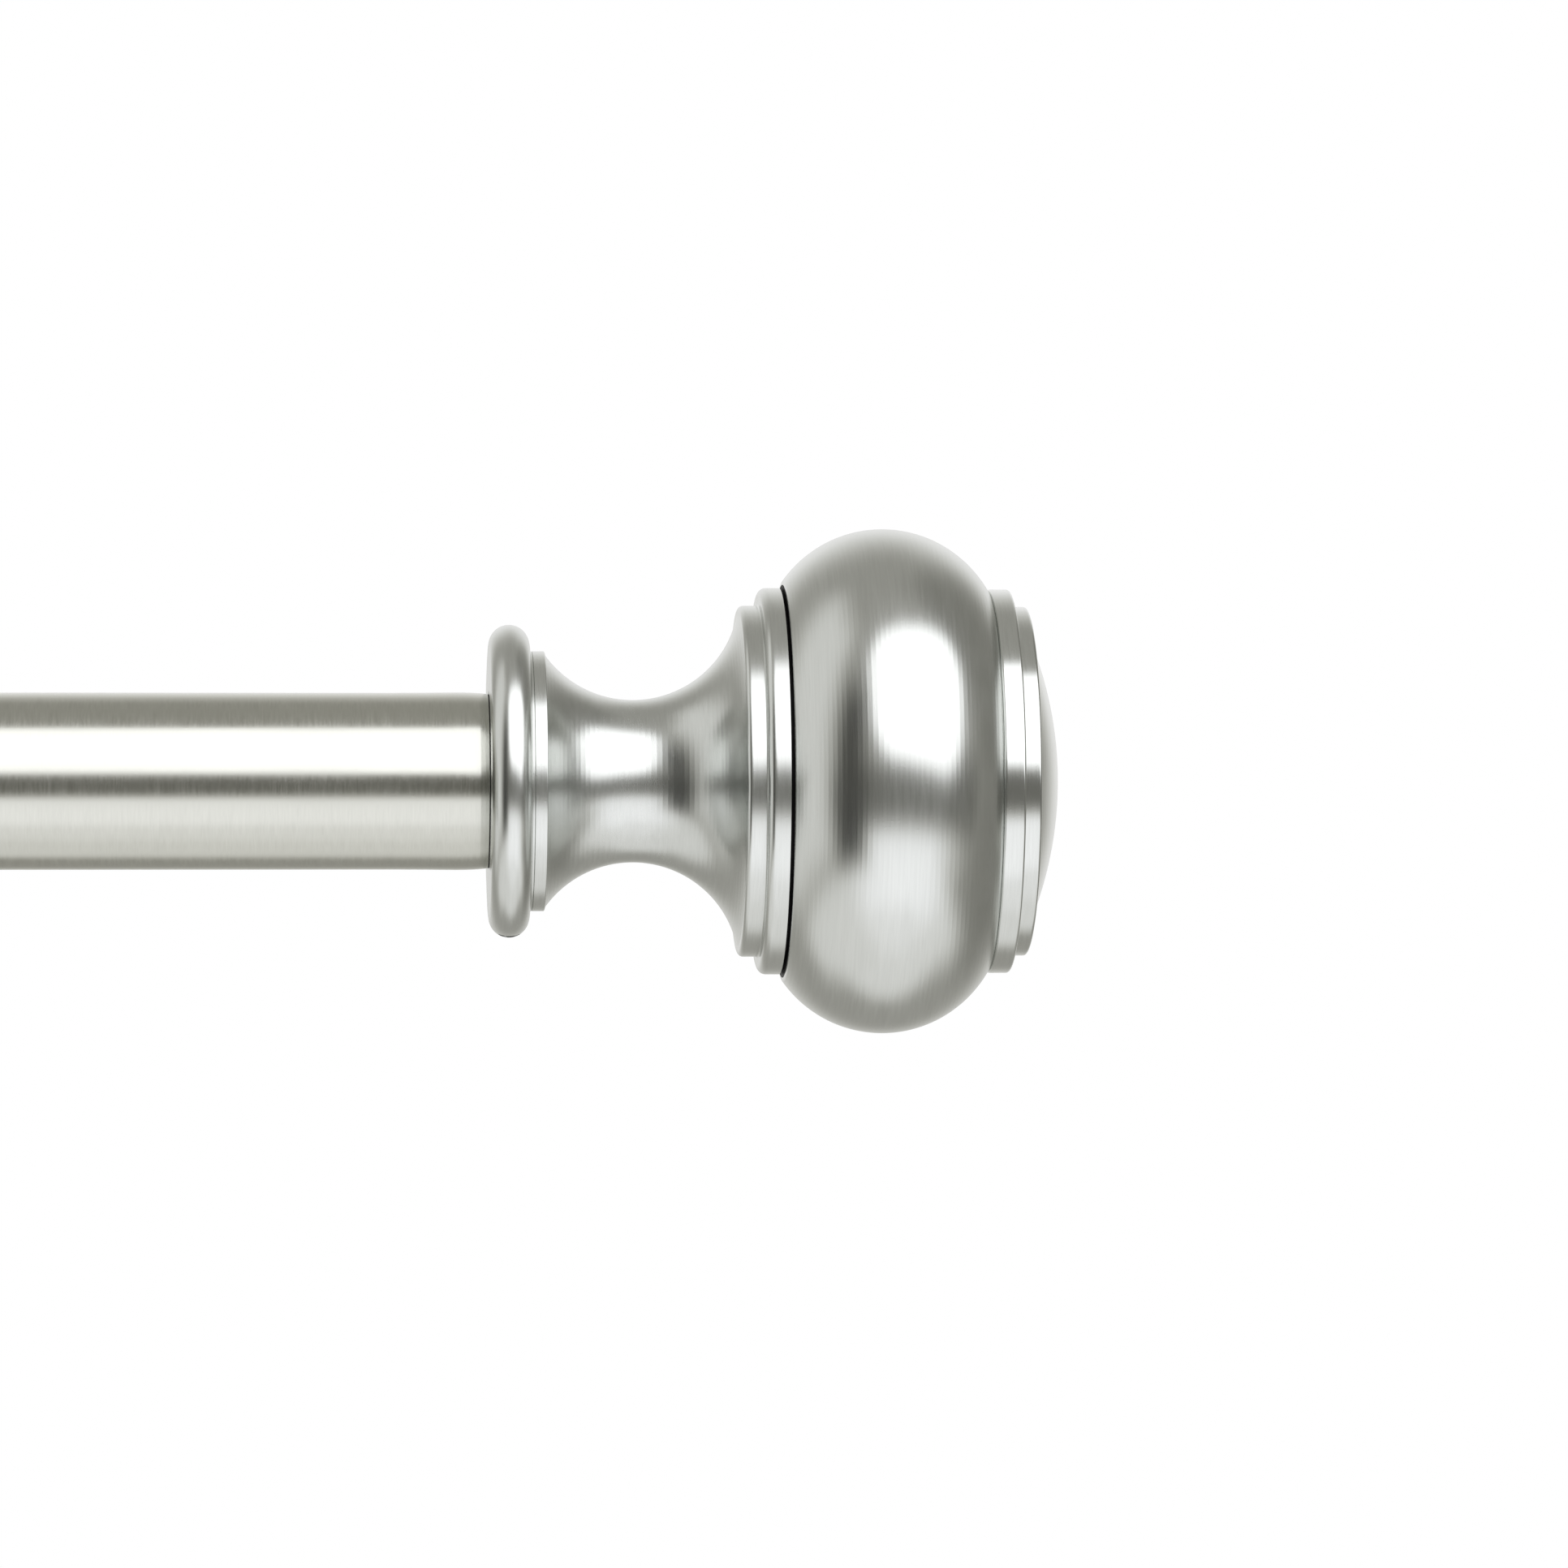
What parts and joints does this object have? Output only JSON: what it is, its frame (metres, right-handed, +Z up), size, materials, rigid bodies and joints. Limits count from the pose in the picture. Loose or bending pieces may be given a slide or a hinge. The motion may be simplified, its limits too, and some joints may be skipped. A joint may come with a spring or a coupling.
{
  "type": "telescoping curtain rod with wall brackets",
  "caption": "Straight telescoping metal rod with turned knob finials, held in open cups on adjustable wall brackets with round rosettes.",
  "frame": {"origin": "centre of the right bracket's wall plate, on the face that lies against the wall", "axes": "+X along the rod towards the right finial, +Y into the wall, +Z up"},
  "size_m": [1.0202, 0.1554, 0.0728],
  "materials": {
    "tube_nickel": "satin nickel plate, brushed around the tube",
    "finial_nickel": "satin nickel plate, turned and brushed round the axis",
    "bracket_nickel": "satin nickel plate",
    "plated_steel": "bright zinc plate",
    "black_steel": "black oxide",
    "sleeve_aluminium": "plain turned",
    "glide_plastic": "moulded, matt",
    "pad_nylon": "natural nylon"
  },
  "bodies": {
    "right_base": {"right_wall_plate": "plated_steel", "right_arm_sleeve": "bracket_nickel", "right_wall_screws": "plated_steel"},
    "left_base": {"left_wall_plate": "plated_steel", "left_arm_sleeve": "bracket_nickel", "left_wall_screws": "plated_steel"},
    "outer_rod": {"outer_tube": "tube_nickel", "glide_bush": "glide_plastic"},
    "inner_rod": {"inner_tube": "tube_nickel", "inner_glide": "glide_plastic", "reducer_sleeve": "sleeve_aluminium"},
    "right_cover": {"right_rosette": "bracket_nickel"},
    "right_cover_screw": {"right_rosette_screw": "black_steel"},
    "right_arm": {"right_arm_shaft": "bracket_nickel", "right_cup": "bracket_nickel"},
    "right_cup_pad": {"right_rod_pad": "pad_nylon"},
    "right_cup_thumbscrew": {"right_rod_screw": "bracket_nickel"},
    "right_sleeve_pad": {"right_arm_pad": "pad_nylon"},
    "right_sleeve_thumbscrew": {"right_arm_screw": "bracket_nickel"},
    "right_finial": {"right_finial_neck": "finial_nickel", "right_finial_knob": "finial_nickel", "right_finial_cap": "finial_nickel", "right_finial_stud": "plated_steel"},
    "right_finial_screw": {"right_finial_set_screw": "black_steel"},
    "left_cover": {"left_rosette": "bracket_nickel"},
    "left_cover_screw": {"left_rosette_screw": "black_steel"},
    "left_arm": {"left_arm_shaft": "bracket_nickel", "left_cup": "bracket_nickel"},
    "left_cup_pad": {"left_rod_pad": "pad_nylon"},
    "left_cup_thumbscrew": {"left_rod_screw": "bracket_nickel"},
    "left_sleeve_pad": {"left_arm_pad": "pad_nylon"},
    "left_sleeve_thumbscrew": {"left_arm_screw": "bracket_nickel"},
    "left_finial": {"left_finial_neck": "finial_nickel", "left_finial_knob": "finial_nickel", "left_finial_cap": "finial_nickel", "left_finial_stud": "plated_steel"},
    "left_finial_screw": {"left_finial_set_screw": "black_steel"}
  },
  "joints": [
    {"name": "projection", "type": "slide", "parent": "right_base", "child": "right_arm", "axis": [0, -1, 0], "range_m": [0, 0.0254]},
    {"name": "left_projection", "type": "slide", "parent": "left_base", "child": "left_arm", "axis": [0, -1, 0], "range_m": [0, 0.0254]},
    {"name": "rod_lift", "type": "slide", "parent": "right_arm", "child": "outer_rod", "axis": [0, 0, 1], "range_m": [0, 0.04]},
    {"name": "rod_extend", "type": "slide", "parent": "outer_rod", "child": "inner_rod", "axis": [-1, 0, 0], "range_m": [-0.015, 0.363]},
    {"name": "left_bracket_place", "type": "slide", "parent": "right_base", "child": "left_base", "axis": [-1, 0, 0], "range_m": [-0.015, 0.363]},
    {"name": "right_finial_pull", "type": "slide", "parent": "outer_rod", "child": "right_finial", "axis": [1, 0, 0], "range_m": [0, 0.03]},
    {"name": "right_set_screw_turn", "type": "hinge", "parent": "right_finial", "child": "right_finial_screw", "pos_m": [0.1279, -0.09, 0], "axis": [0, 0.0872, 0.9962], "range_deg": [-720, 0]},
    {"name": "right_rosette_slide", "type": "slide", "parent": "right_base", "child": "right_cover", "axis": [0, -1, 0], "range_m": [0, 0.016]},
    {"name": "right_rosette_screw_turn", "type": "hinge", "parent": "right_cover", "child": "right_cover_screw", "pos_m": [0, -0.0197, 0], "axis": [0, 0, 1], "range_deg": [-720, 0]},
    {"name": "right_rod_pad_press", "type": "slide", "parent": "right_arm", "child": "right_cup_pad", "axis": [0, 0, 1], "range_m": [-0.0014, 0]},
    {"name": "right_rod_screw_turn", "type": "hinge", "parent": "right_cup_pad", "child": "right_cup_thumbscrew", "pos_m": [0, -0.09, 0], "axis": [0, 0, 1], "range_deg": [-720, 0]},
    {"name": "right_arm_pad_press", "type": "slide", "parent": "right_base", "child": "right_sleeve_pad", "axis": [0, 0, 1], "range_m": [-0.0014, 0]},
    {"name": "right_arm_screw_turn", "type": "hinge", "parent": "right_sleeve_pad", "child": "right_sleeve_thumbscrew", "pos_m": [0, -0.044, 0], "axis": [0, 0, 1], "range_deg": [-720, 0]},
    {"name": "left_finial_pull", "type": "slide", "parent": "inner_rod", "child": "left_finial", "axis": [-1, 0, 0], "range_m": [0, 0.03]},
    {"name": "left_set_screw_turn", "type": "hinge", "parent": "left_finial", "child": "left_finial_screw", "pos_m": [-0.7341, -0.09, 0], "axis": [0, 0.0872, 0.9962], "range_deg": [-720, 0]},
    {"name": "left_rosette_slide", "type": "slide", "parent": "left_base", "child": "left_cover", "axis": [0, -1, 0], "range_m": [0, 0.016]},
    {"name": "left_rosette_screw_turn", "type": "hinge", "parent": "left_cover", "child": "left_cover_screw", "pos_m": [-0.6162, -0.0197, 0.0016], "axis": [0, 0, 1], "range_deg": [-720, 0]},
    {"name": "left_rod_pad_press", "type": "slide", "parent": "left_arm", "child": "left_cup_pad", "axis": [0, 0, 1], "range_m": [-0.0014, 0]},
    {"name": "left_rod_screw_turn", "type": "hinge", "parent": "left_cup_pad", "child": "left_cup_thumbscrew", "pos_m": [-0.6162, -0.09, 0.0016], "axis": [0, 0, 1], "range_deg": [-720, 0]},
    {"name": "left_arm_pad_press", "type": "slide", "parent": "left_base", "child": "left_sleeve_pad", "axis": [0, 0, 1], "range_m": [-0.0014, 0]},
    {"name": "left_arm_screw_turn", "type": "hinge", "parent": "left_sleeve_pad", "child": "left_sleeve_thumbscrew", "pos_m": [-0.6162, -0.044, 0.0016], "axis": [0, 0, 1], "range_deg": [-720, 0]}
  ],
  "couplings": [
    {"joint": "left_projection", "follows": "projection", "ratio": 1},
    {"joint": "left_bracket_place", "follows": "rod_extend", "ratio": 1},
    {"joint": "right_rod_screw_turn", "follows": "right_rod_pad_press", "rad_per_m": 8975.9},
    {"joint": "right_arm_screw_turn", "follows": "right_arm_pad_press", "rad_per_m": 8975.9},
    {"joint": "left_rod_screw_turn", "follows": "left_rod_pad_press", "rad_per_m": 8975.9},
    {"joint": "left_arm_screw_turn", "follows": "left_arm_pad_press", "rad_per_m": 8975.9}
  ]
}
